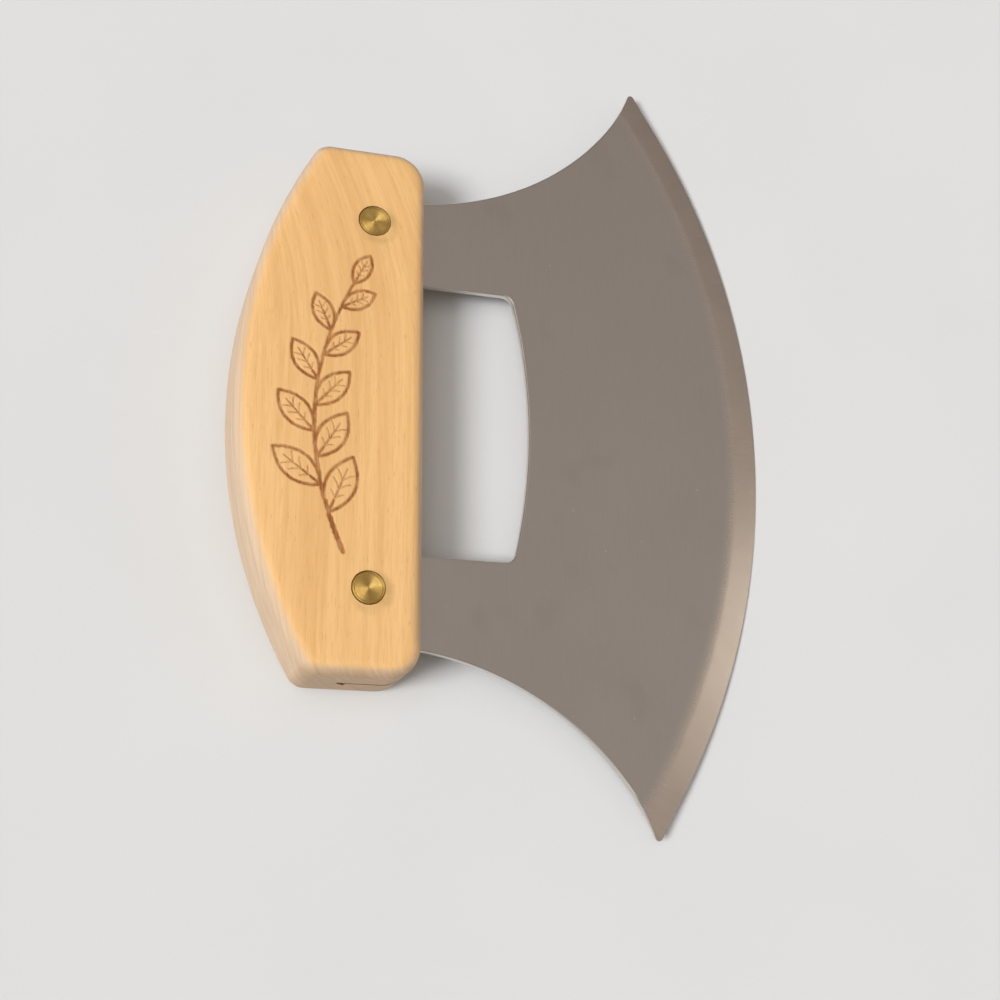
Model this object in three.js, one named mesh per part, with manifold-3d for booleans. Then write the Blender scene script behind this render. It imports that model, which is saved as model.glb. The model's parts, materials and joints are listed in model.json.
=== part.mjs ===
// Ulu knife: a crescent blade whose two tangs sit in a saw kerf along the underside of a one-piece
// wooden handle, held by two brass cutlery rivets, each a stud pressed into a socket.
// The knife lies flat as it is put down on a table, on the handle's lower edge and the crown of
// the cutting edge. Millimetres, +X from handle to edge, +Y from tip to tip, +Z up.
import * as THREE from "three";
import { mergeVertices } from "three/addons/utils/BufferGeometryUtils.js";
import Module from "manifold-3d";

// Blade
const BLADE_SPAN = 152.4; // tip to tip
const BLADE_THICKNESS = 1.5;
const EDGE_REACH = 68.9; // handle underside to the crown of the cutting edge
const EDGE_RADIUS = 135.5; // curve of the cutting edge
const EDGE_LAND = 0.2; // thickness left at the cutting edge
const BEVEL_WIDTH = 5.5; // ground band behind the cutting edge, on both sides

// Tangs and the hollow shoulders that run from them to the tips
const TANG_INSET = 6.8; // handle end to the outer side of a tang
const TANG_MARGIN = 1.2; // metal between a rivet hole and the end of its tang
const SHOULDER_START = 5.8; // depth inside the handle where a tang's side starts to curve

// Finger opening between handle, tangs and blade
const OPENING_WIDTH = 53.4; // along the handle
const OPENING_REACH = 22; // handle underside to the crown of the far side
const OPENING_RADIUS = 110; // curve of the far side
const OPENING_CORNER = 2.2;

// Handle
const HANDLE_LENGTH = 101;
const HANDLE_THICKNESS = 15.9;
const END_DEPTH = 20.2; // underside to the corner where a flat end meets the back
const BACK_ARCH = 14; // rise of the back over those corners
const UNDERSIDE_CORNER = 5.9;
const FACE_CORNER = 1; // corner between end and back, left inside the rounding on the broad faces
const EDGE_ROUND = 2.5; // rounding along every edge of the two broad faces

// Rivets
const RIVET_INSET = 9.9; // handle underside to the rivets
const HEAD_DIAMETER = 6.1;
const HEAD_THICKNESS = 1.6;
const HEAD_CHAMFER = 0.2;
const STUD_DIAMETER = 2;
const SOCKET_WALL = 0.6;

// Clearance between neighbouring pieces
const FIT_GAP = 0.3;

// How finely round shapes are divided
const ARC_STEPS = 14; // half the chords of each arc in an outline
const EDGE_STEPS = 320; // chords of the full circle that holds the cutting edge
const RIVET_STEPS = 40;
const ROUND_STEPS = 5;

// Length by which a cut runs past the faces it cuts
const CUT_MARGIN = 5;

// Points nearer than this are one corner of a solid
const MERGE_DISTANCE = 1e-4;

// Sizes that follow from the ones above
const openingHalf = OPENING_WIDTH / 2;
const handleHalf = HANDLE_LENGTH / 2;
const faceHeight = HANDLE_THICKNESS / 2;
const backCorner = FACE_CORNER + EDGE_ROUND;
const tangOuter = handleHalf - TANG_INSET;
const rivetY = (openingHalf + tangOuter) / 2;
const studRadius = STUD_DIAMETER / 2;
const socketBore = studRadius + FIT_GAP;
const socketRadius = socketBore + SOCKET_WALL;
const rivetHole = socketRadius + FIT_GAP;
const headRadius = HEAD_DIAMETER / 2;
const headSeat = faceHeight - HEAD_THICKNESS;
const tangDepth = RIVET_INSET + rivetHole + TANG_MARGIN;
const kerfDepth = tangDepth + FIT_GAP;
const kerfWidth = BLADE_THICKNESS + 2 * FIT_GAP;
const edgeCentreX = EDGE_REACH - EDGE_RADIUS;
const tipY = BLADE_SPAN / 2;
const tipX = edgeCentreX + Math.sqrt(EDGE_RADIUS ** 2 - tipY ** 2);

const wasm = await Module();
wasm.setup();

// A closed geometry as a solid that can be joined and cut
function solid(geometry) {
  const bare = new THREE.BufferGeometry();
  bare.setAttribute("position", geometry.getAttribute("position"));
  bare.setIndex(geometry.getIndex());
  const merged = mergeVertices(bare, MERGE_DISTANCE);
  const shape = new wasm.Mesh({
    numProp: 3,
    vertProperties: merged.getAttribute("position").array,
    triVerts: new Uint32Array(merged.getIndex().array),
  });
  return new wasm.Manifold(shape);
}

// A solid back as a geometry
function geometryOf(manifold) {
  const { vertProperties, triVerts } = manifold.getMesh();
  const geometry = new THREE.BufferGeometry();
  geometry.setAttribute("position", new THREE.BufferAttribute(vertProperties, 3));
  geometry.setIndex(new THREE.BufferAttribute(triVerts, 1));
  geometry.computeVertexNormals();
  return geometry;
}

// A profile of [radius, height] points turned about the Z axis
function turned(profile, steps) {
  const points = profile.map(([radius, height]) => new THREE.Vector2(radius, height));
  return new THREE.LatheGeometry(points, steps).rotateX(Math.PI / 2);
}

// A cylinder about the Z axis, from one height to another
function rod(radius, from, to) {
  return turned([[0, from], [radius, from], [radius, to], [0, to]], RIVET_STEPS);
}

// Centre of a round corner that touches the line y = height and the circle about (circleX, 0) from inside
function cornerCentre(circleX, circleRadius, height, corner, side) {
  const rise = height - corner;
  const run = Math.sqrt((circleRadius - corner) ** 2 - rise ** 2);
  return new THREE.Vector2(circleX + side * run, rise);
}

// Handle seen from above: straight underside at x = 0, flat ends and an arched back
function handleOutline() {
  const backRadius = (handleHalf ** 2 + BACK_ARCH ** 2) / (2 * BACK_ARCH);
  const backX = backRadius - END_DEPTH - BACK_ARCH;
  const corner = cornerCentre(backX, backRadius, handleHalf, backCorner, -1);
  const backAngle = Math.atan2(corner.y, corner.x - backX);
  const cornerY = handleHalf - UNDERSIDE_CORNER;
  const outline = new THREE.Shape();
  outline.moveTo(0, -cornerY);
  outline.lineTo(0, cornerY);
  outline.absarc(-UNDERSIDE_CORNER, cornerY, UNDERSIDE_CORNER, 0, Math.PI / 2);
  outline.absarc(corner.x, corner.y, backCorner, Math.PI / 2, backAngle);
  outline.absarc(backX, 0, backRadius, backAngle, 2 * Math.PI - backAngle);
  outline.absarc(corner.x, -corner.y, backCorner, 2 * Math.PI - backAngle, 1.5 * Math.PI);
  outline.absarc(-UNDERSIDE_CORNER, -cornerY, UNDERSIDE_CORNER, 1.5 * Math.PI, 2 * Math.PI);
  return outline;
}

// Handle: rounded block, cut by the kerf for the tangs and by a stepped hole for each rivet
function makeHandle() {
  const block = new THREE.ExtrudeGeometry(handleOutline(), {
    depth: HANDLE_THICKNESS - 2 * EDGE_ROUND,
    curveSegments: ARC_STEPS,
    bevelThickness: EDGE_ROUND,
    bevelSize: EDGE_ROUND,
    bevelOffset: -EDGE_ROUND,
    bevelSegments: ROUND_STEPS,
  }).translate(0, 0, EDGE_ROUND - faceHeight);
  const kerf = new THREE.BoxGeometry(kerfDepth + CUT_MARGIN, HANDLE_LENGTH + 2 * CUT_MARGIN, kerfWidth);
  kerf.translate((CUT_MARGIN - kerfDepth) / 2, 0, 0);
  let body = solid(block).subtract(solid(kerf));
  const pastFace = faceHeight + CUT_MARGIN;
  const seatDepth = headSeat - FIT_GAP;
  const seatRadius = headRadius + FIT_GAP;
  const hole = turned([
    [0, -pastFace],
    [seatRadius, -pastFace],
    [seatRadius, -seatDepth],
    [rivetHole, -seatDepth],
    [rivetHole, seatDepth],
    [seatRadius, seatDepth],
    [seatRadius, pastFace],
    [0, pastFace],
  ], RIVET_STEPS);
  for (const side of [-1, 1]) {
    body = body.subtract(solid(hole.clone().translate(-RIVET_INSET, side * rivetY, 0)));
  }
  return geometryOf(body);
}

// Blade seen from above, left oversize past the cutting edge
function bladeOutline() {
  const tipRun = tipX + SHOULDER_START;
  const tipRise = tipY - tangOuter;
  const shoulderRadius = (tipRun ** 2 + tipRise ** 2) / (2 * tipRise);
  const shoulderY = tangOuter + shoulderRadius;
  const tipAngle = Math.atan2(tipY - shoulderY, tipRun);
  const beyondX = tipX - CUT_MARGIN * Math.sin(tipAngle);
  const beyondY = tipY + CUT_MARGIN * Math.cos(tipAngle);
  const farCentreX = OPENING_REACH - OPENING_RADIUS;
  const corner = cornerCentre(farCentreX, OPENING_RADIUS, openingHalf, OPENING_CORNER, 1);
  const farAngle = Math.atan2(corner.y, corner.x - farCentreX);
  const outline = new THREE.Shape();
  outline.moveTo(-tangDepth, tangOuter);
  outline.lineTo(-tangDepth, openingHalf);
  outline.absarc(corner.x, corner.y, OPENING_CORNER, Math.PI / 2, farAngle, true);
  outline.absarc(farCentreX, 0, OPENING_RADIUS, farAngle, -farAngle, true);
  outline.absarc(corner.x, -corner.y, OPENING_CORNER, -farAngle, -Math.PI / 2, true);
  outline.lineTo(-tangDepth, -openingHalf);
  outline.lineTo(-tangDepth, -tangOuter);
  outline.absarc(-SHOULDER_START, -shoulderY, shoulderRadius, Math.PI / 2, -tipAngle, true);
  outline.lineTo(beyondX, -beyondY);
  outline.lineTo(EDGE_REACH + CUT_MARGIN, -beyondY);
  outline.lineTo(EDGE_REACH + CUT_MARGIN, beyondY);
  outline.lineTo(beyondX, beyondY);
  outline.absarc(-SHOULDER_START, shoulderY, shoulderRadius, tipAngle, -Math.PI / 2, true);
  return outline;
}

// Blade: flat plate ground to a bevel on both sides of its curved edge, with a hole in each tang
function makeBlade() {
  const half = BLADE_THICKNESS / 2;
  const plate = new THREE.ExtrudeGeometry(bladeOutline(), {
    depth: BLADE_THICKNESS,
    curveSegments: ARC_STEPS,
    bevelEnabled: false,
  }).translate(0, 0, -half);
  const landHalf = EDGE_LAND / 2;
  const slope = (half - landHalf) / BEVEL_WIDTH;
  const coreHalf = landHalf + slope * EDGE_RADIUS;
  const ground = turned([
    [0, -coreHalf],
    [EDGE_RADIUS, -landHalf],
    [EDGE_RADIUS, landHalf],
    [0, coreHalf],
  ], EDGE_STEPS);
  let body = solid(plate).intersect(solid(ground.translate(edgeCentreX, 0, 0)));
  const hole = rod(rivetHole, -BLADE_THICKNESS, BLADE_THICKNESS);
  for (const side of [-1, 1]) {
    body = body.subtract(solid(hole.clone().translate(-RIVET_INSET, side * rivetY, 0)));
  }
  return geometryOf(body);
}

// Rivet stud: head flush with the upper face and a pin that goes down into the socket
function makeStud() {
  const pinEnd = FIT_GAP - headSeat;
  return turned([
    [0, pinEnd],
    [studRadius, pinEnd],
    [studRadius, headSeat],
    [headRadius, headSeat],
    [headRadius, faceHeight - HEAD_CHAMFER],
    [headRadius - HEAD_CHAMFER, faceHeight],
    [0, faceHeight],
  ], RIVET_STEPS);
}

// Rivet socket: head flush with the lower face and a tube that takes the stud's pin
function makeSocket() {
  const tubeEnd = headSeat - FIT_GAP;
  return turned([
    [0, -faceHeight],
    [headRadius - HEAD_CHAMFER, -faceHeight],
    [headRadius, HEAD_CHAMFER - faceHeight],
    [headRadius, -headSeat],
    [socketRadius, -headSeat],
    [socketRadius, tubeEnd],
    [socketBore, tubeEnd],
    [socketBore, -headSeat],
    [0, -headSeat],
  ], RIVET_STEPS);
}

const birch = { color: 0xe3b87d, roughness: 0.6, metalness: 0 };
const steel = { color: 0x8a7e76, roughness: 0.4, metalness: 1 };
const brass = { color: 0xb8923e, roughness: 0.35, metalness: 1 };

function piece(name, geometry, finish) {
  const mesh = new THREE.Mesh(geometry, new THREE.MeshStandardMaterial(finish));
  mesh.name = name;
  return mesh;
}

const knife = new THREE.Group();
knife.add(piece("blade", makeBlade(), steel));
knife.add(piece("handle", makeHandle(), birch));
for (const [end, side] of [["left", -1], ["right", 1]]) {
  const rivet = new THREE.Group();
  rivet.add(piece(`${end}_rivet_stud`, makeStud(), brass));
  rivet.add(piece(`${end}_rivet_socket`, makeSocket(), brass));
  rivet.position.set(-RIVET_INSET, side * rivetY, 0);
  knife.add(rivet);
}

// Laid down: the line that touches the handle's rounded lower edge and the cutting edge is the table
const tableDrop = faceHeight - EDGE_ROUND - EDGE_LAND / 2;
const tableRun = EDGE_REACH + EDGE_ROUND;
const roundTurn = Math.asin(EDGE_ROUND / Math.hypot(tableDrop, tableRun));
knife.rotation.y = Math.atan2(tableDrop, tableRun) + roundTurn;

// Origin on the table under the middle of the knife
const part = new THREE.Group();
part.add(knife);
const bounds = new THREE.Box3().setFromObject(part, true);
const middle = bounds.getCenter(new THREE.Vector3());
knife.position.set(-middle.x, -middle.y, -bounds.min.z);

export default part;
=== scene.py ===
# Looks of the ulu knife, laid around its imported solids. Metres, +Z up.
# The knife's own frame has x from the handle's underside to the cutting edge, y from tip to tip and
# z square to the blade, with its origin on the handle's underside, midway between the tips.
import json
import math
from itertools import combinations

import bmesh
import bpy
from mathutils import Matrix, Vector, noise
from mathutils.geometry import delaunay_2d_cdt
from mathutils.kdtree import KDTree


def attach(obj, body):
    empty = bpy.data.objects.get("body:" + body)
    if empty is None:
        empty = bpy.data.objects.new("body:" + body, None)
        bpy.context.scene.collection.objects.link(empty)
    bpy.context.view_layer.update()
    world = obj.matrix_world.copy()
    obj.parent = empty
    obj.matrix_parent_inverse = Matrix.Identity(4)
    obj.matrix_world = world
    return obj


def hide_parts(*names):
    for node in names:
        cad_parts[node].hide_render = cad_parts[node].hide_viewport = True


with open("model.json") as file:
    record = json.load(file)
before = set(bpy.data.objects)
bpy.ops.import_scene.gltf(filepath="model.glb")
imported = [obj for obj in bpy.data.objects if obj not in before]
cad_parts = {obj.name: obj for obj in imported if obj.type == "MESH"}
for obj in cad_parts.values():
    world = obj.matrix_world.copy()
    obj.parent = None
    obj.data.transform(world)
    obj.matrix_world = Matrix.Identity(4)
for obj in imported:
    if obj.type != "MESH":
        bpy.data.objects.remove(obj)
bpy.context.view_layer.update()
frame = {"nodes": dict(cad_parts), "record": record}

MM = 0.001
WELD = 0.002 * MM  # points nearer than this are one
ACROSS = Vector((1, 0, 0))  # from handle to cutting edge
ALONG = Vector((0, 1, 0))  # from tip to tip

# Camera, in the knife's own frame
CAMERA_AT = Vector((-66.64, -106.33, 269.41)) * MM
CAMERA_AIM = Vector((16.37, -14.58, 0.0)) * MM
CAMERA_ROLL = math.radians(0.527)
CAMERA_NEAR = 0.01  # nothing closer to it is drawn
FOCAL_PIXELS = 1600
IMAGE_PIXELS = 1000
SENSOR_WIDTH = 36

# Key: a far lamp, with its direction in the knife's own frame, its width seen from there, its
# watts per square metre and its colour
KEY_TOWARD = Vector((-0.68, -0.24, 0.69))
KEY_DISTANCE = 1.0  # a far lamp shines the same from any distance
KEY_WIDTH = math.radians(20)
KEY_STRENGTH = 2.25
KEY_COLOR = (1.0, 0.99, 0.97)

# Softboxes: direction in the knife's own frame, distance, side of the square, power in watts and colour
SIDE_LAMP = (Vector((-0.45, -0.12, 0.885)), 9.0, 7.2, 293.0, (1.0, 0.99, 0.97))
TOP_LAMP = (Vector((0.32, 0.27, 0.91)), 9.0, 7.65, 48.0, (1.0, 0.89, 0.81))
EDGE_LAMP = (Vector((0.655, 0.15, 0.74)), 7.2, 1.35, 5.8, (1.0, 0.99, 0.86))
FILL_LAMP = (Vector((0.9, -0.25, 0.4)), 12.0, 9.3, 158.0, (1.0, 0.96, 0.9))

# Floor, and the room around it: dim above, with a pale backdrop low down
FLOOR_HALF = 12.0  # half the side of the square floor
ROOM_COLOR = (0.2, 0.18, 0.164, 1.0)
BACKDROP_COLOR = (0.7, 0.7, 0.69, 1.0)
BACKDROP_TOP = 0.2  # sine of the angle above the horizon where it ends

# Clearance that the solids keep from each other, and what is left of it on the knife
FIT_GAP = 0.3 * MM
SNUG_GAP = 0.05 * MM

# Kerf at the handle's ends, past the tangs
KERF_PINCH = 0.3 * MM  # half its width at the end
TANG_CLEAR = 0.5 * MM  # length past a tang before the kerf narrows
CHIP_LENGTH = 1.8 * MM  # chip in the lower lip at the kerf's inner corner
CHIP_PEAK = 1.5 * MM  # where it is deepest
CHIP_DEPTH = 1.7 * MM  # below the middle of the kerf

# Engraved sprig on the handle's upper face
STEM_START = Vector((-14.5, -29.0)) * MM
STEM_END = Vector((-13.5, 22.0)) * MM
STEM_BOW = 0.12  # rise of the stem's bow over its chord
STEM_HALF = 0.46 * MM  # half the width of a stroke, here and below
TWIG_HALF = 0.26 * MM
LEAF_HALF = 0.3 * MM
RIB_END_HALF = 0.1 * MM
VEIN_HALF = 0.09 * MM
BARE_STEM = 1.4  # stem below the first leaf, in spaces between leaves
STEM_LOOK_BACK = 5  # points along the stem that give its direction at a leaf
LEAF_COUNT = 9  # beside the one at the stem's end
LEAF_LENGTH = 12.0 * MM
LEAF_SHRINK = 0.45  # share of its length that the last leaf lacks
LEAF_ANGLE = math.radians(40)
LEAF_BOW = 0.24
RIB_SHARE = 0.78  # of the leaf's length
VEIN_PLACES = (0.24, 0.4, 0.56)  # shares of the leaf's length
VEIN_ANGLE = math.radians(42)
VEIN_REACH = 0.62  # share of the way to the leaf's margin
VEIN_BOW = 0.08
STROKE_STEP = 0.1 * MM  # between the points of a stroke
GROOVE_DEPTH = 0.14 * MM
BURN_FADE = 0.24 * MM  # width over which a stroke's side fades out
RAGGED_SHARE = 0.3  # how much a stroke's width wavers
RAGGED_SIZE = 0.7 * MM

# Mesh of the engraved face: fine within a reach of the strokes, coarse elsewhere
FINE_STEP = 0.2 * MM
FINE_REACH = 0.45 * MM
COARSE_STEP = 3.0 * MM
FILL_WELD = WELD / 10
KEEP_INSIDE = 1  # asks delaunay_2d_cdt for the triangles inside the limits

# Blade
EDGE_RADIUS = 135.5 * MM
GROUND_BAND = 5.5 * MM  # width of the ground edge
SHOULDER = 1.3 * MM  # how far the flat rolls over into the ground edge
SHOULDER_STEPS = 6
CUT_BREAK = 0.3 * MM  # broken corner along the cut sides
CUT_STEPS = 5
TIP_BREAK = 0.09 * MM  # broken corner where the ground edge meets the cut sides
TIP_STEPS = 3
LOW_CORNER = 0.2 * MM  # corners this near the blade's middle plane stay sharp
TIP_NEAR = 4.0 * MM  # a tip's own points lie within this
TIP_GROWTH = 0.95 * MM  # how far a tip is drawn out before it is rounded
TIP_REACH = 8.0 * MM  # length of blade that is drawn out with it
TIP_ROUND = 0.75 * MM
TIP_ROUND_STEPS = 5
FLAT_LEAN = math.radians(0.5)  # faces that lean less are the flats
GROUND_LEAN = math.radians(9)  # faces that lean less, and are not flats, are the ground edge
LEAST_CUT_TURN = math.radians(60)  # between a flat or the ground edge and a cut side
TANG_SPLIT = -6.0 * MM  # inside the handle
ROUND_PROFILE = 0.5  # of a bevel

# Rivets
RIVET_STEPS = 96
STUD_RADIUS = 1.0 * MM
SOCKET_BORE = 1.05 * MM
SOCKET_RADIUS = 1.9 * MM
HEAD_THICKNESS = 1.6 * MM
HEAD_CHAMFER = 0.2 * MM
TURNING_PITCH = 0.11 * MM  # rings left by the lathe on a head
TURNING_DEPTH = 0.019 * MM
TURNING_POINTS = 2  # a ridge and a valley to each ring
RIM_GROOVE = 2.52 * MM  # radius of the line cut inside the rim
RIM_GROOVE_WIDTH = 0.2 * MM
RIM_GROOVE_DEPTH = 0.03 * MM

# Edges that turn more than these stay sharp
HANDLE_SHARP = math.radians(40)
BLADE_SHARP = math.radians(5)
RIVET_SHARP = math.radians(15)

# Depth of the fine relief in wood and steel
FIBRE_RELIEF = 0.03 * MM
ROLLING_RELIEF = 0.004 * MM
GRINDING_RELIEF = 0.001 * MM

# Sizes in the materials, in the millimetres that they work in
PITH_X = -95.0  # middle of the tree's growth rings
PITH_Z = -60.0
GRAIN_TURN = 8.0  # y past which the grain swings aside
GRAIN_SWING = 0.006  # shift for each square millimetre past it
STAIN_SHIFT = Vector((0.6, -0.7))  # from a rivet's centre to its stain's
STAIN_INNER = 2.9
STAIN_OUTER = 4.6
KERF_DARK_FULL = 1.8  # height beside the kerf's middle where its painted shade starts to fade
KERF_DARK_END = 2.2
KERF_DARK_START = 0.5  # length behind the kerf's bottom where its painted shade begins
KERF_DARK_RISE = 0.3  # length over which it grows to full
TARNISH_INNER = 2.4
TARNISH_OUTER = 3.05
GROOVE_DARK_FULL = 0.04  # gap to the rim groove's middle where its dark starts to fade
GROOVE_DARK_END = 0.14
SCRATCHES = ((math.radians(25), 0.9), (math.radians(-52), 0.7))  # angle and scale of the hair scratches


def knife_frame():
    """The knife's own frame, from the mount on the handle's upper face and the handle's solid."""
    mounts = {mount["name"]: mount for mount in frame["record"]["mounts"]}
    up = Vector(mounts["handle_upper_face"]["axis"]).normalized()
    turn = Matrix((ALONG.cross(up), ALONG, up)).transposed()
    points = [turn.transposed() @ vert.co for vert in frame["nodes"]["handle"].data.vertices]
    heights = [point.z for point in points]
    underside = max(point.x for point in points)
    origin = turn @ Vector((underside, 0, (min(heights) + max(heights)) / 2))
    return Matrix.Translation(origin) @ turn.to_4x4()


KNIFE = knife_frame()
TO_KNIFE = KNIFE.inverted()


def local_points(node):
    """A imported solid's points in the knife's own frame."""
    return [TO_KNIFE @ vert.co for vert in frame["nodes"][node].data.vertices]


def local_box(node):
    """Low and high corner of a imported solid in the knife's own frame."""
    points = local_points(node)
    low = Vector(min(point[axis] for point in points) for axis in range(3))
    high = Vector(max(point[axis] for point in points) for axis in range(3))
    return low, high


HANDLE_LOW, HANDLE_HIGH = local_box("handle")
BLADE_LOW, BLADE_HIGH = local_box("blade")
KERF_BOTTOM = BLADE_LOW.x - FIT_GAP
TANG_SIDE = max(point.y for point in local_points("blade") if point.x < BLADE_LOW.x + WELD)
NARROWING = TANG_SIDE + TANG_CLEAR  # where the kerf starts to narrow, from the middle of the knife
RIVET_CENTRES = {}
for end in ("left", "right"):
    stud_low, stud_high = local_box(f"{end}_rivet_stud")
    RIVET_CENTRES[end] = (stud_low + stud_high).xy / 2
HEAD_RADIUS = (stud_high.x - stud_low.x) / 2  # alike at both ends


def shade(red, green, blue):
    """A colour as the screen shows it, 0 to 255, as the linear colour that nodes take."""
    linear = []
    for value in (red, green, blue):
        share = value / 255
        linear.append(share / 12.92 if share <= 0.04045 else ((share + 0.055) / 1.055) ** 2.4)
    return (*linear, 1.0)


# Colours of the wood
HONEY = shade(242, 196, 134)
ROSE = shade(234, 186, 124)
STREAK = shade(216, 165, 105)
FIBRE = shade(207, 154, 96)
FLECK = shade(176, 122, 70)
# Painted sheen on the rounded edges, paler and greyer than the wood
EDGE_SHEEN_LIGHT = shade(213, 190, 165)
EDGE_SHEEN_DARK = shade(198, 173, 147)
SAWN_LIGHT = shade(191, 162, 130)
SAWN_DARK = shade(179, 147, 113)
RIVET_STAIN = shade(158, 130, 74)
SCORCHED = shade(170, 107, 52)
CHARRED = shade(134, 80, 36)
# Painted shade inside the kerf
KERF_PAINTED_SHADE = shade(112, 82, 56)

# Colours of the steel
SATIN_DARK = shade(190, 184, 179)
SATIN_MIDDLE = shade(194, 188, 183)
SATIN_LIGHT = shade(198, 192, 187)
ROLLING_LINE = shade(158, 152, 147)
SMUDGE = shade(162, 154, 148)
NICK = shade(226, 220, 212)
SCRATCH = shade(224, 218, 210)
# Cut sides: brighter sheared steel, partly a painted glint
SHEARED_STEEL_AND_GLINT = shade(220, 215, 208)
GROUND_DARK = shade(209, 196, 186)
GROUND_LIGHT = shade(215, 202, 192)
GROUND_WAVE = shade(198, 185, 175)

# Colours of the brass and of the floor
BRASS_LIGHT = shade(241, 203, 122)
BRASS_DARK = shade(229, 186, 103)
TARNISH = shade(160, 124, 62)
GROOVE_DARK = shade(122, 92, 44)
FLOOR_DARK = shade(212, 214, 216)
FLOOR_LIGHT = shade(217, 219, 221)


class Graph:
    """The nodes of a material or of the sky. A value is a socket to link or a plain number."""

    def __init__(self, owner, shader="Principled BSDF"):
        self.owner = owner
        self.owner.use_nodes = True
        self.tree = self.owner.node_tree
        self.shader = self.tree.nodes[shader]

    def put(self, socket, value):
        if isinstance(value, bpy.types.NodeSocket):
            self.tree.links.new(value, socket)
        else:
            socket.default_value = value

    def node(self, kind, inputs=(), **settings):
        made = self.tree.nodes.new(kind)
        for name, value in settings.items():
            setattr(made, name, value)
        for place, value in dict(inputs).items():
            self.put(made.inputs[place], value)
        return made

    def math(self, operation, first, second=0.0):
        return self.node("ShaderNodeMath", {0: first, 1: second}, operation=operation).outputs[0]

    def length(self, x, y):
        """Distance of a point of a plane from the plane's origin."""
        squares = self.math("ADD", self.math("POWER", x, 2.0), self.math("POWER", y, 2.0))
        return self.math("SQRT", squares)

    def noise(self, place, scales, detail=2.0, rough=0.5):
        """Noise at a place of three coordinates, each stretched by its scale."""
        scaled = [self.math("MULTIPLY", value, scale) for value, scale in zip(place, scales)]
        vector = self.node("ShaderNodeCombineXYZ", dict(enumerate(scaled))).outputs[0]
        inputs = {"Vector": vector, "Scale": 1.0, "Detail": detail, "Roughness": rough}
        return self.node("ShaderNodeTexNoise", inputs).outputs["Fac"]

    def ramp(self, value, low, high, first=0.0, last=1.0):
        """Goes smoothly from first to last while a value goes from low to high."""
        inputs = {"Value": value, "From Min": low, "From Max": high, "To Min": first, "To Max": last}
        return self.node("ShaderNodeMapRange", inputs, interpolation_type="SMOOTHSTEP").outputs[0]

    def mix(self, share, first, second):
        """A mix of two colours, which the node takes in its sockets 6 and 7 and gives in socket 2."""
        inputs = {0: share, 6: first, 7: second}
        return self.node("ShaderNodeMix", inputs, data_type="RGBA").outputs[2]

    def bump(self, height, distance, strength):
        inputs = {"Height": height, "Distance": distance, "Strength": strength}
        return self.node("ShaderNodeBump", inputs).outputs[0]

    def millimetres(self):
        """The piece's own coordinates, in millimetres, as three sockets."""
        place = self.node("ShaderNodeTexCoord").outputs["Object"]
        scaled = self.node("ShaderNodeVectorMath", {0: place, "Scale": 1 / MM}, operation="SCALE")
        return self.node("ShaderNodeSeparateXYZ", {0: scaled.outputs[0]}).outputs

    def own_normal(self):
        """The surface's normal in the piece's own frame, as three sockets."""
        normal = self.node("ShaderNodeNewGeometry").outputs["Normal"]
        spaces = {"convert_from": "WORLD", "convert_to": "OBJECT"}
        turned = self.node("ShaderNodeVectorTransform", {0: normal}, vector_type="NORMAL", **spaces)
        return self.node("ShaderNodeSeparateXYZ", {0: turned.outputs[0]}).outputs

    def finish(self, **sockets):
        for name, value in sockets.items():
            self.put(self.shader.inputs[name.replace("_", " ")], value)
        return self.owner


def rivet_stain(g, x, y, z, centre):
    """Share of stain in the wood beside a rivet, in patches."""
    middle = centre / MM + STAIN_SHIFT
    away = g.length(g.math("SUBTRACT", x, middle.x), g.math("SUBTRACT", y, middle.y))
    patches = g.ramp(g.noise((x, y, z), (0.3, 0.3, 0.3), detail=1.0), 0.35, 0.65, 0.3, 1.0)
    return g.math("MULTIPLY", g.ramp(away, STAIN_INNER, STAIN_OUTER, 0.45, 0.0), patches)


def kerf_painted_shade(g, x, z, normal):
    """Share of painted shade on the kerf's walls and bottom."""
    start = KERF_BOTTOM / MM - KERF_DARK_START
    inward = g.math("MAXIMUM", g.math("ABSOLUTE", normal[2]), g.math("MULTIPLY", normal[0], -1.0))
    beside = g.ramp(g.math("ABSOLUTE", z), KERF_DARK_FULL, KERF_DARK_END, 0.9, 0.0)
    within = g.math("MULTIPLY", beside, g.ramp(x, start, start + KERF_DARK_RISE))
    return g.math("MULTIPLY", g.ramp(inward, 0.5, 0.7), within)
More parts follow.
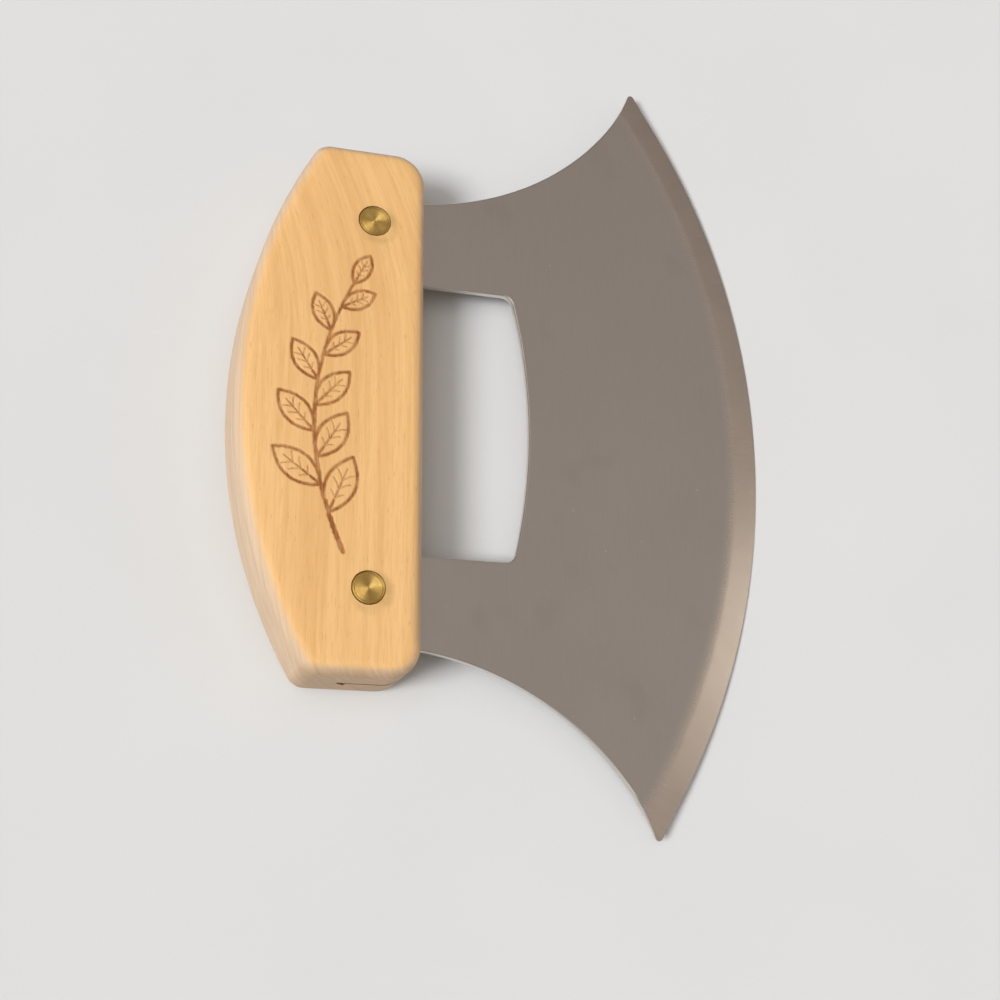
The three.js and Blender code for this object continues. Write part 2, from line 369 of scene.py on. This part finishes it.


# Birch: long streaks of honey and rose, fine fibres and flecks, rounded edges paler with a painted sheen,
# most on the side the key lights, darker on the sawn ends, with burnt lines, a stain beside each rivet and
# painted shade in the kerf
def birch():
    g = Graph(bpy.data.materials.new("birch"))
    x, y, z = g.millimetres()
    normal = g.own_normal()
    past = g.math("MAXIMUM", g.math("SUBTRACT", y, GRAIN_TURN), 0.0)
    swing = g.math("MULTIPLY", g.math("MULTIPLY", past, past), GRAIN_SWING)
    from_pith_x = g.math("SUBTRACT", g.math("ADD", x, swing), PITH_X)
    from_pith_z = g.math("SUBTRACT", z, PITH_Z)
    grain = (g.length(from_pith_x, from_pith_z), y, z)
    bands = g.noise(grain, (0.26, 0.008, 0.02), detail=3.0)
    streaks = g.noise(grain, (1.3, 0.028, 0.3), detail=4.0, rough=0.6)
    fibres = g.noise(grain, (6.0, 0.22, 4.0), detail=3.0)
    flecks = g.noise(grain, (5.0, 0.45, 5.0), detail=1.0)
    color = g.mix(g.ramp(bands, 0.34, 0.66), HONEY, ROSE)
    color = g.mix(g.ramp(streaks, 0.35, 0.7, 0.0, 0.42), color, STREAK)
    color = g.mix(g.ramp(fibres, 0.4, 0.75, 0.0, 0.28), color, FIBRE)
    color = g.mix(g.ramp(flecks, 0.68, 0.76, 0.0, 0.3), color, FLECK)
    # Painted sheen: the rounded edges turn paler, less so on the underside, which faces away from the key
    edge = g.ramp(g.math("ABSOLUTE", normal[2]), 0.7, 0.995, 0.85, 0.0)
    edge = g.math("MULTIPLY", edge, g.ramp(normal[0], 0.1, 0.6, 1.0, 0.6))
    color = g.mix(edge, color, g.mix(g.ramp(streaks, 0.35, 0.7), EDGE_SHEEN_LIGHT, EDGE_SHEEN_DARK))
    end = g.ramp(g.math("ABSOLUTE", normal[1]), 0.25, 1.0)
    color = g.mix(end, color, g.mix(g.ramp(streaks, 0.3, 0.7), SAWN_LIGHT, SAWN_DARK))
    for centre in RIVET_CENTRES.values():
        color = g.mix(rivet_stain(g, x, y, z, centre), color, RIVET_STAIN)
    burnt = g.node("ShaderNodeAttribute", attribute_name="burn").outputs["Fac"]
    scorch = g.ramp(g.noise((x, y, z), (0.4, 0.4, 0.4)), 0.35, 0.6, 0.7, 1.0)
    char = g.mix(g.ramp(fibres, 0.35, 0.65), SCORCHED, CHARRED)
    color = g.mix(g.math("MULTIPLY", burnt, scorch), color, char)
    # Painted shade on the kerf's walls and bottom
    color = g.mix(kerf_painted_shade(g, x, z, normal), color, KERF_PAINTED_SHADE)
    roughness = g.ramp(fibres, 0.3, 0.7, 0.46, 0.58)
    height = g.math("ADD", g.math("MULTIPLY", fibres, 0.6), g.math("MULTIPLY", streaks, 0.4))
    relief = g.bump(height, FIBRE_RELIEF, 0.6)
    return g.finish(Base_Color=color, Roughness=roughness, Normal=relief)


# Satin steel: faint rolling lines and clouds, a few hair scratches, brighter on the cut sides as sheared
# steel and as a painted glint
def satin_steel():
    g = Graph(bpy.data.materials.new("satin_steel"))
    x, y, z = g.millimetres()
    clouds = g.noise((x, y, z), (0.035, 0.035, 0.035), detail=3.0)
    lines = g.noise((x, y, z), (7.0, 0.15, 7.0), detail=3.0)
    smudges = g.noise((x, y, z), (0.09, 0.07, 0.09))
    nicks = g.noise((x, y, z), (1.1, 0.8, 1.1), detail=0.0)
    color = g.mix(clouds, SATIN_DARK, SATIN_LIGHT)
    color = g.mix(g.ramp(lines, 0.35, 0.65, 0.0, 0.07), color, ROLLING_LINE)
    color = g.mix(g.ramp(smudges, 0.58, 0.78, 0.0, 0.2), color, SMUDGE)
    color = g.mix(g.ramp(nicks, 0.85, 0.88, 0.0, 0.5), color, NICK)
    for angle, scale in SCRATCHES:
        cos = math.cos(angle)
        sin = math.sin(angle)
        along = g.math("ADD", g.math("MULTIPLY", x, cos), g.math("MULTIPLY", y, sin))
        aside = g.math("SUBTRACT", g.math("MULTIPLY", y, cos), g.math("MULTIPLY", x, sin))
        hairs = g.noise((aside, along, z), (9.0 * scale, 0.09 * scale, 0.2), detail=1.0)
        color = g.mix(g.ramp(hairs, 0.76, 0.8, 0.0, 0.35), color, SCRATCH)
    # Cut sides brighter: sheared steel, and partly a painted glint along them
    cut = g.ramp(g.math("ABSOLUTE", g.own_normal()[2]), 0.9, 0.99, 1.0, 0.0)
    color = g.mix(cut, color, SHEARED_STEEL_AND_GLINT)
    roughness = g.ramp(clouds, 0.3, 0.7, 0.29, 0.33)
    relief = g.bump(lines, ROLLING_RELIEF, 0.5)
    return g.finish(Base_Color=color, Metallic=1.0, Roughness=roughness, Normal=relief)


# Ground edge: brighter steel with grinding lines that run out to the cutting edge, turning into
# satin steel across the shoulder
def ground_steel():
    g = Graph(bpy.data.materials.new("ground_steel"))
    x, y, z = g.millimetres()
    out = g.math("SUBTRACT", x, (BLADE_HIGH.x - EDGE_RADIUS) / MM)
    arc = g.math("MULTIPLY", g.math("ARCTAN2", y, out), EDGE_RADIUS / MM)
    radius = g.length(out, y)
    lines = g.noise((arc, radius, z), (4.0, 0.16, 1.0), detail=4.0, rough=0.65)
    waves = g.noise((arc, radius, z), (0.16, 0.05, 1.0))
    color = g.mix(g.ramp(lines, 0.3, 0.7), GROUND_DARK, GROUND_LIGHT)
    color = g.mix(g.ramp(waves, 0.35, 0.65, 0.0, 0.25), color, GROUND_WAVE)
    inner = (EDGE_RADIUS - GROUND_BAND - SHOULDER) / MM
    outer = (EDGE_RADIUS - GROUND_BAND + SHOULDER) / MM
    color = g.mix(g.ramp(radius, inner, outer), SATIN_MIDDLE, color)
    duller = g.ramp(radius, inner, outer, 0.07, 0.0)
    roughness = g.math("ADD", g.ramp(lines, 0.3, 0.7, 0.22, 0.26), duller)
    relief = g.bump(lines, GRINDING_RELIEF, 0.2)
    return g.finish(Base_Color=color, Metallic=1.0, Roughness=roughness, Normal=relief)


# Brass: golden, a little tarnished toward the rim, dark in the rim's groove
def brass():
    g = Graph(bpy.data.materials.new("brass"))
    x, y, z = g.millimetres()
    radius = g.length(x, y)
    clouds = g.noise((x, y, z), (0.8, 0.8, 0.8), detail=3.0)
    color = g.mix(g.ramp(clouds, 0.35, 0.65), BRASS_LIGHT, BRASS_DARK)
    color = g.mix(g.ramp(radius, TARNISH_INNER, TARNISH_OUTER, 0.0, 0.35), color, TARNISH)
    aside = g.math("ABSOLUTE", g.math("SUBTRACT", radius, RIM_GROOVE / MM))
    color = g.mix(g.ramp(aside, GROOVE_DARK_FULL, GROOVE_DARK_END, 0.2, 0.0), color, GROOVE_DARK)
    roughness = g.ramp(clouds, 0.3, 0.7, 0.32, 0.4)
    return g.finish(Base_Color=color, Metallic=1.0, Roughness=roughness)


# Floor: plain pale grey with the faintest mottle
def floor_paint():
    g = Graph(bpy.data.materials.new("floor"))
    mottle = g.noise(g.millimetres(), (0.02, 0.02, 0.02))
    color = g.mix(mottle, FLOOR_DARK, FLOOR_LIGHT)
    return g.finish(Base_Color=color, Roughness=0.9, Specular_IOR_Level=0.2)


def solid_of(node):
    """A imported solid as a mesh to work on, in the knife's own frame."""
    mesh = bmesh.new()
    verts = [mesh.verts.new(point) for point in local_points(node)]
    for polygon in frame["nodes"][node].data.polygons:
        mesh.faces.new([verts[index] for index in polygon.vertices])
    bmesh.ops.remove_doubles(mesh, verts=mesh.verts, dist=WELD)
    return mesh


def split(mesh, place, square):
    """Cuts a mesh's faces where a plane passes through them, and keeps both sides."""
    parts = mesh.verts[:] + mesh.edges[:] + mesh.faces[:]
    bmesh.ops.bisect_plane(mesh, geom=parts, dist=WELD / 2, plane_co=place, plane_no=square)


def add_object(name, data):
    """A new object in the scene."""
    made = bpy.data.objects.new(name, data)
    bpy.context.scene.collection.objects.link(made)
    return made


def add_piece(name, mesh, materials, node, place, sharp_angle):
    """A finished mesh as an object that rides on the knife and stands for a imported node."""
    bmesh.ops.recalc_face_normals(mesh, faces=mesh.faces)
    for face in mesh.faces:
        face.smooth = True
    data = bpy.data.meshes.new(name)
    mesh.to_mesh(data)
    mesh.free()
    data.set_sharp_from_angle(angle=sharp_angle)
    for material in materials:
        data.materials.append(material)
    piece = add_object(name, data)
    piece.matrix_world = place
    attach(piece, "root")
    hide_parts(node)
    return piece


def bowed(start, end, bow):
    """Points from start to end along a curve that bows to the left by a share of its chord."""
    chord = end - start
    left = Vector((-chord.y, chord.x))
    count = max(2, math.ceil(chord.length / STROKE_STEP))
    shares = [index / count for index in range(count + 1)]
    return [start + chord * share + left * (4 * bow * share * (1 - share)) for share in shares]


def veins(base, heading, length):
    """Strokes of a leaf's side veins, from its rib toward its margin."""
    strokes = []
    for place in VEIN_PLACES:
        start = base + heading * length * place
        margin = 4 * LEAF_BOW * place * (1 - place) * length
        for side in (-1, 1):
            outward = heading.copy()
            outward.rotate(Matrix.Rotation(side * VEIN_ANGLE, 2))
            end = start + outward * margin * VEIN_REACH / math.sin(VEIN_ANGLE)
            strokes.append((bowed(start, end, -side * VEIN_BOW), VEIN_HALF, VEIN_HALF))
    return strokes


def sprig():
    """Strokes of the engraving: each a list of points, its half width at the start and at the end."""
    stem = bowed(STEM_START, STEM_END, STEM_BOW)
    strokes = [(stem, STEM_HALF, TWIG_HALF)]
    for number in range(LEAF_COUNT + 1):
        share = (number + BARE_STEM) / (LEAF_COUNT + BARE_STEM)
        place = int(share * (len(stem) - 1))
        side = 1 if number % 2 else -1
        angle = side * LEAF_ANGLE if number < LEAF_COUNT else 0.0
        base = stem[place]
        heading = (base - stem[place - STEM_LOOK_BACK]).normalized()
        heading.rotate(Matrix.Rotation(angle, 2))
        length = LEAF_LENGTH * (1 - LEAF_SHRINK * share)
        tip = base + heading * length
        for bow in (LEAF_BOW, -LEAF_BOW):
            strokes.append((bowed(base, tip, bow), LEAF_HALF, LEAF_HALF))
        rib_end = base + heading * length * RIB_SHARE
        strokes.append((bowed(base, rib_end, 0.0), LEAF_HALF, RIB_END_HALF))
        strokes += veins(base, heading, length)
    return strokes


def burn_depth(strokes):
    """A function of a point on the handle's face: how deep it is burnt, 0 to 1, and its gap to a stroke."""
    samples = []
    for points, first, last in strokes:
        for index, point in enumerate(points):
            samples.append((point, first + (last - first) * index / (len(points) - 1)))
    tree = KDTree(len(samples))
    for index, (point, _) in enumerate(samples):
        tree.insert(point.to_3d(), index)
    tree.balance()

    def depth_at(point):
        _, index, distance = tree.find(point.to_3d())
        ragged = 1 + RAGGED_SHARE * noise.noise(point.to_3d() / RAGGED_SIZE)
        gap = distance - samples[index][1] * ragged
        share = min(1.0, max(0.0, 0.5 - gap / BURN_FADE))
        return share * share * (3 - 2 * share), gap

    return depth_at


def near_rivet(point, reach):
    """Whether a point of the handle's face lies within a reach of a rivet's centre."""
    return any((point - centre).length < reach for centre in RIVET_CENTRES.values())


def face_points(depth_at):
    """Points to fill the handle's upper face with: close together along the strokes, sparse elsewhere."""
    points = []
    ratio = round(COARSE_STEP / FINE_STEP)
    rows = int((HANDLE_HIGH.y - HANDLE_LOW.y) / FINE_STEP)
    columns = int((HANDLE_HIGH.x - HANDLE_LOW.x) / FINE_STEP)
    for row in range(rows):
        for column in range(columns):
            point = HANDLE_LOW.xy + Vector((column, row)) * FINE_STEP
            on_grid = row % ratio == 0 and column % ratio == 0
            if near_rivet(point, HEAD_RADIUS + FIT_GAP):
                continue
            if on_grid or depth_at(point)[1] < FINE_REACH:
                points.append(point)
    return points


def engrave(mesh):
    """Opens the handle's flat upper face and fills it again with the sprig cut into it."""
    burn = mesh.verts.layers.float.new("burn")
    top = HANDLE_HIGH.z
    flat = [face for face in mesh.faces if all(abs(vert.co.z - top) < WELD for vert in face.verts)]
    bmesh.ops.delete(mesh, geom=flat, context="FACES")
    mesh.verts.index_update()
    border = [edge for edge in mesh.edges if edge.is_boundary]
    rim = sorted({vert for edge in border for vert in edge.verts}, key=lambda vert: vert.index)
    number = {vert: index for index, vert in enumerate(rim)}
    limits = [tuple(number[vert] for vert in edge.verts) for edge in border]
    depth_at = burn_depth(sprig())
    points = [vert.co.xy for vert in rim] + face_points(depth_at)
    found, _, triangles, sources, _, _ = delaunay_2d_cdt(points, limits, [], KEEP_INSIDE, FILL_WELD)
    verts = []
    for point, source in zip(found, sources):
        if source and source[0] < len(rim):
            verts.append(rim[source[0]])
            continue
        depth, _ = depth_at(point)
        vert = mesh.verts.new((point.x, point.y, top - GROOVE_DEPTH * depth))
        vert[burn] = depth
        verts.append(vert)
    for triangle in triangles:
        corners = [verts[index] for index in triangle]
        middle = sum((corner.co.xy for corner in corners), Vector((0, 0))) / 3
        if not near_rivet(middle, HEAD_RADIUS):
            mesh.faces.new(corners)
    bmesh.ops.delete(mesh, geom=[vert for vert in mesh.verts if not vert.link_faces], context="VERTS")


def kerf_half(point):
    """Half the kerf's width at a point: snug on the tangs, pinched at the ends, chipped in one place."""
    snug = BLADE_HIGH.z + SNUG_GAP
    if abs(point.y) <= NARROWING + WELD:
        return snug
    share = (abs(point.y) - NARROWING) / (HANDLE_HIGH.y - NARROWING)
    at_peak = abs(point.x - KERF_BOTTOM - CHIP_PEAK) < WELD
    last = CHIP_DEPTH if at_peak and point.y < 0 and point.z < 0 else KERF_PINCH
    return snug * (1 - share) + last * share


def make_handle(material):
    mesh = solid_of("handle")
    for side in (-1, 1):
        split(mesh, ALONG * side * NARROWING, ALONG)
    for reach in (CHIP_PEAK, CHIP_LENGTH):
        split(mesh, ACROSS * (KERF_BOTTOM + reach), ACROSS)
    for vert in mesh.verts:
        if abs(abs(vert.co.z) - BLADE_HIGH.z - FIT_GAP) < WELD:
            vert.co.z = math.copysign(kerf_half(vert.co), vert.co.z)
        for centre in RIVET_CENTRES.values():
            offset = vert.co.xy - centre
            if abs(offset.length - HEAD_RADIUS - FIT_GAP) < WELD:
                vert.co.xy = centre + offset.normalized() * (HEAD_RADIUS + SNUG_GAP)
    engrave(mesh)
    add_piece("wooden_handle", mesh, [material], "handle", KNIFE, HANDLE_SHARP)


def lean(face):
    """Angle between a face and the blade's flats."""
    return math.acos(min(1.0, abs(face.normal.z)))


def is_ground(face):
    """Whether a face belongs to the ground edge or its shoulder."""
    return FLAT_LEAN < lean(face) < GROUND_LEAN


def tip_wedge(mesh, tip):
    """Direction from a tip into the blade, and half the angle between the sides that meet there."""
    offsets = [vert.co.xy - tip for vert in mesh.verts]
    near = [offset.normalized() for offset in offsets if WELD < offset.length < TIP_NEAR]
    first, second = max(combinations(near, 2), key=lambda pair: pair[0].angle(pair[1]))
    return (first + second).normalized(), first.angle(second) / 2


def trim(mesh, tip, place, outward):
    """Cuts a tip off along a plane square to the blade and closes the cut."""
    near = [vert for vert in mesh.verts if (vert.co.xy - tip).length < TIP_NEAR]
    faces = dict.fromkeys(face for vert in near for face in vert.link_faces)
    parts = dict.fromkeys(part for face in faces for part in (*face.verts, *face.edges, face))
    cut = bmesh.ops.bisect_plane(
        mesh, geom=list(parts), dist=WELD / 2, plane_co=place, plane_no=outward, clear_outer=True
    )
    rim = [part for part in cut["geom_cut"] if isinstance(part, bmesh.types.BMEdge)]
    bmesh.ops.holes_fill(mesh, edges=rim, sides=0)


def round_tips(mesh):
    """Draws the blade's two tips out a little and rounds them off."""
    for side in (-1, 1):
        ends = [vert for vert in mesh.verts if abs(vert.co.y - side * BLADE_HIGH.y) < WELD]
        tip = ends[0].co.xy
        inward, _ = tip_wedge(mesh, tip)
        for vert in mesh.verts:
            share = max(0.0, 1 - (vert.co.xy - tip).length / TIP_REACH)
            vert.co.xy -= inward * TIP_GROWTH * share ** 2
        tip = ends[0].co.xy
        inward, half = tip_wedge(mesh, tip)
        centre = tip + inward * TIP_ROUND / math.sin(half)
        for step in range(TIP_ROUND_STEPS):
            share = (2 * step + 1) / TIP_ROUND_STEPS - 1
            outward = -inward
            outward.rotate(Matrix.Rotation(share * (math.pi / 2 - half), 2))
            trim(mesh, tip, (centre + outward * TIP_ROUND).to_3d(), outward.to_3d())


def join_flats(mesh):
    """Makes one face of each flat, from inside the handle to the ground edge."""
    split(mesh, ACROSS * TANG_SPLIT, ACROSS)
    for side in (-1, 1):
        flat = []
        for face in mesh.faces:
            level = all(abs(vert.co.z - side * BLADE_HIGH.z) < WELD for vert in face.verts)
            if level and all(vert.co.x > TANG_SPLIT - WELD for vert in face.verts):
                flat.append(face)
        bmesh.ops.dissolve_faces(mesh, faces=flat)
    mesh.normal_update()


def rim_edges(mesh, least, most):
    """Edges along the blade's flats where its faces turn by an angle between the two given."""
    found = []
    for edge in mesh.edges:
        height = abs(edge.verts[0].co.z + edge.verts[1].co.z) / 2
        if abs(height - BLADE_HIGH.z) < WELD and least < edge.calc_face_angle() < most:
            found.append(edge)
    return found


def tip_edges(mesh):
    """Edges between the ground edge and the cut sides, apart from the lowest."""
    found = []
    for edge in mesh.edges:
        gentle, steep = sorted(edge.link_faces, key=lean)
        height = max(abs(vert.co.z) for vert in edge.verts)
        if is_ground(gentle) and lean(steep) > LEAST_CUT_TURN and height > LOW_CORNER:
            found.append(edge)
    return found


def soften(mesh, edges, reach, steps):
    """Rounds edges off, starting at a reach to each side of them."""
    bmesh.ops.bevel(
        mesh, geom=edges, offset=reach, segments=steps, profile=ROUND_PROFILE, affect="EDGES"
    )


def make_blade(flat_material, edge_material):
    mesh = solid_of("blade")
    for vert in mesh.verts:
        if abs(abs(vert.co.z) - BLADE_HIGH.z) < WELD:
            vert.co.z = math.copysign(BLADE_HIGH.z, vert.co.z)
    round_tips(mesh)
    join_flats(mesh)
    ground = [face for face in mesh.faces if is_ground(face)]
    bmesh.ops.join_triangles(
        mesh, faces=ground, angle_face_threshold=GROUND_LEAN, angle_shape_threshold=math.pi
    )
    soften(mesh, rim_edges(mesh, FLAT_LEAN, GROUND_LEAN), SHOULDER, SHOULDER_STEPS)
    soften(mesh, rim_edges(mesh, LEAST_CUT_TURN, math.pi), CUT_BREAK, CUT_STEPS)
    mesh.normal_update()
    soften(mesh, tip_edges(mesh), TIP_BREAK, TIP_STEPS)
    mesh.normal_update()
    for face in mesh.faces:
        face.material_index = 1 if is_ground(face) else 0
    materials = [flat_material, edge_material]
    blade = add_piece("steel_blade", mesh, materials, "blade", KNIFE, BLADE_SHARP)
    for polygon in blade.data.polygons:
        polygon.use_smooth = abs(polygon.normal.z) < math.cos(FLAT_LEAN)


def head_face(height):
    """Profile of a rivet head's turned face, from its middle to its chamfer, as radius and height."""
    reach = HEAD_RADIUS - HEAD_CHAMFER
    count = math.ceil(reach / TURNING_PITCH * TURNING_POINTS)
    profile = []
    for index in range(count + 1):
        radius = reach * index / count
        turns = math.cos(2 * math.pi * radius / TURNING_PITCH)
        depth = TURNING_DEPTH * (0.5 - 0.5 * turns)
        aside = abs(radius - RIM_GROOVE) / RIM_GROOVE_WIDTH
        if aside < 0.5:
            depth += RIM_GROOVE_DEPTH * math.cos(math.pi * aside)
        profile.append((radius, height - depth))
    return profile


def turned(profile):
    """A closed mesh of a profile of radius and height points, turned about its z axis."""
    mesh = bmesh.new()
    angles = [2 * math.pi * step / RIVET_STEPS for step in range(RIVET_STEPS)]
    rings = []
    for radius, height in profile:
        if radius < WELD:
            rings.append([mesh.verts.new((0, 0, height))] * RIVET_STEPS)
            continue
        rings.append([mesh.verts.new((radius * math.cos(a), radius * math.sin(a), height)) for a in angles])
    for lower, upper in zip(rings, rings[1:]):
        for step in range(RIVET_STEPS):
            following = (step + 1) % RIVET_STEPS
            corners = [lower[step], lower[following], upper[following], upper[step]]
            mesh.faces.new(list(dict.fromkeys(corners)))
    return mesh


def make_rivet(end, material):
    top = HANDLE_HIGH.z
    seat = top - HEAD_THICKNESS
    head = head_face(top) + [(HEAD_RADIUS, top - HEAD_CHAMFER), (HEAD_RADIUS, seat)]
    stud = head + [(STUD_RADIUS, seat), (STUD_RADIUS, FIT_GAP - seat), (0, FIT_GAP - seat)]
    socket = [(radius, -height) for radius, height in head]
    socket += [(SOCKET_RADIUS, -seat), (SOCKET_RADIUS, seat - FIT_GAP)]
    socket += [(SOCKET_BORE, seat - FIT_GAP), (SOCKET_BORE, -seat), (0, -seat)]
    place = KNIFE @ Matrix.Translation(RIVET_CENTRES[end].to_3d())
    for part, profile in (("stud", stud), ("socket", socket)):
        node = f"{end}_rivet_{part}"
        add_piece(f"{end}_brass_{part}", turned(profile), [material], node, place, RIVET_SHARP)


def make_floor(material):
    mesh = bmesh.new()
    bmesh.ops.create_grid(mesh, x_segments=1, y_segments=1, size=FLOOR_HALF)
    data = bpy.data.meshes.new("floor")
    mesh.to_mesh(data)
    mesh.free()
    data.materials.append(material)
    floor = add_object("floor", data)


def make_camera():
    lens = bpy.data.cameras.new("camera")
    lens.sensor_width = SENSOR_WIDTH
    lens.lens = SENSOR_WIDTH * FOCAL_PIXELS / IMAGE_PIXELS
    lens.clip_start = CAMERA_NEAR
    camera = add_object("camera", lens)
    ahead = (CAMERA_AIM - CAMERA_AT).normalized()
    right = ahead.cross(ALONG).normalized()
    turn = Matrix((right, right.cross(ahead), -ahead)).transposed()
    turn = turn @ Matrix.Rotation(-CAMERA_ROLL, 3, "Z")
    camera.matrix_world = KNIFE @ Matrix.Translation(CAMERA_AT) @ turn.to_4x4()
    bpy.context.scene.camera = camera


def hang_lamp(lamp, direction, distance):
    """Puts a lamp up in a direction of the knife's own frame, shining at the knife."""
    stand = add_object(lamp.name, lamp)
    toward = KNIFE.to_3x3() @ direction.normalized()
    stand.location = toward * distance
    stand.rotation_euler = (-toward).to_track_quat("-Z", "Y").to_euler()
    return stand


def make_key():
    """Lights the wood and casts the shadows. It glares in no metal, which mirrors the softboxes alone."""
    lamp = bpy.data.lights.new("key", "SUN")
    lamp.angle = KEY_WIDTH
    lamp.energy = KEY_STRENGTH
    lamp.color = KEY_COLOR
    hang_lamp(lamp, KEY_TOWARD, KEY_DISTANCE).visible_glossy = False


def make_softbox(name, direction, distance, side, power, color):
    lamp = bpy.data.lights.new(name, "AREA")
    lamp.size = side
    lamp.energy = power
    lamp.color = color
    hang_lamp(lamp, direction, distance)


def make_sky():
    g = Graph(bpy.data.worlds.new("sky"), "Background")
    toward = g.node("ShaderNodeTexCoord").outputs["Generated"]
    height = g.node("ShaderNodeSeparateXYZ", {0: toward}).outputs[2]
    color = g.mix(g.ramp(height, 0.0, BACKDROP_TOP), BACKDROP_COLOR, ROOM_COLOR)
    bpy.context.scene.world = g.finish(Color=color, Strength=1.0)


make_camera()
make_sky()
make_key()
make_softbox("side", *SIDE_LAMP)
make_softbox("overhead", *TOP_LAMP)
make_softbox("edge_light", *EDGE_LAMP)
make_softbox("fill", *FILL_LAMP)
make_floor(floor_paint())
make_handle(birch())
make_blade(satin_steel(), ground_steel())
rivet_brass = brass()
for end in RIVET_CENTRES:
    make_rivet(end, rivet_brass)

bpy.context.scene.view_settings.view_transform = "Standard"
